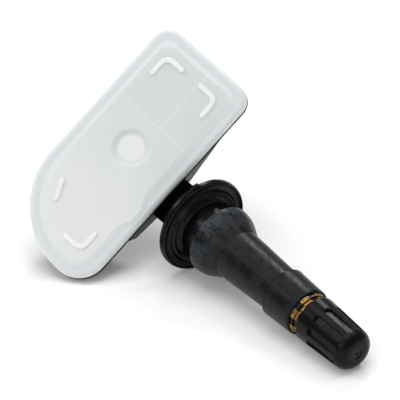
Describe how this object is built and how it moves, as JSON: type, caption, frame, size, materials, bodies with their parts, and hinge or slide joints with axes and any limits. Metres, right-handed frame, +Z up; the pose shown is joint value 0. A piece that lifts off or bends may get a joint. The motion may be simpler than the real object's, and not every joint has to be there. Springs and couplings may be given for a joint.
{
  "type": "tyre pressure sensor",
  "caption": "Tyre pressure sensor lying on its side: a rubber snap-in valve with a screw-on dust cap and a valve core, and a drafted housing with a welded pale lid",
  "frame": {"origin": "middle of the flange's sealing face, where the valve bears on the inside of the wheel rim", "axes": "+Z up from the table that the part lies on, +X along the stem's run on the table towards the cap, +Y to the side of the housing's raised short end"},
  "size_m": [0.0774, 0.0424, 0.0395],
  "materials": {
    "rubber": "satin",
    "brass": "turned",
    "seal_rubber": "matt",
    "steel": "bright",
    "cap_plastic": "matt",
    "housing_plastic": "matt",
    "lid_plastic": "satin",
    "board_laminate": "satin",
    "cell_can": "bright",
    "nickel": "satin",
    "chip_plastic": "matt",
    "membrane": "matt",
    "ferrite": "matt",
    "antenna_metal": "bright",
    "component_ceramic": "satin"
  },
  "bodies": {
    "sensor": {"valve_rubber": "rubber", "valve_stem": "brass", "core_plug": "brass", "core_barrel": "brass", "core_gasket": "seal_rubber", "core_spring": "steel", "housing": "housing_plastic", "lid": "lid_plastic", "stem_screw": "steel", "circuit_board": "board_laminate", "battery": "cell_can", "upper_tab": "nickel", "lower_tab": "nickel", "sensor_chip": "chip_plastic", "port_seal": "seal_rubber", "port_filter": "membrane", "trigger_coil": "ferrite", "crystal": "steel", "antenna": "antenna_metal", "small_parts": "component_ceramic"},
    "cap_washer": {"cap_seal": "seal_rubber"},
    "cap": {"valve_cap": "cap_plastic"},
    "valve_pin": {"core_pin": "brass", "core_cup": "brass", "core_cup_seal": "seal_rubber"}
  },
  "joints": [
    {"name": "cap_lift", "type": "slide", "parent": "sensor", "child": "cap_washer", "axis": [0.9928, 0, -0.1194], "range_m": [0, 0.00873]},
    {"name": "cap_turn", "type": "hinge", "parent": "cap_washer", "child": "cap", "pos_m": [0.03405, 0, -0.0041], "axis": [0.9928, 0, -0.1194], "range_deg": [0, 3960]},
    {"name": "pin_press", "type": "slide", "parent": "sensor", "child": "valve_pin", "axis": [-0.9928, 0, 0.1194], "range_m": [0, 0.0013], "stiffness_N_per_m": 400, "springref_m": -0.004, "deforming": ["core_spring"]}
  ],
  "couplings": [
    {"joint": "cap_turn", "follows": "cap_lift", "rad_per_m": 7915.8}
  ]
}
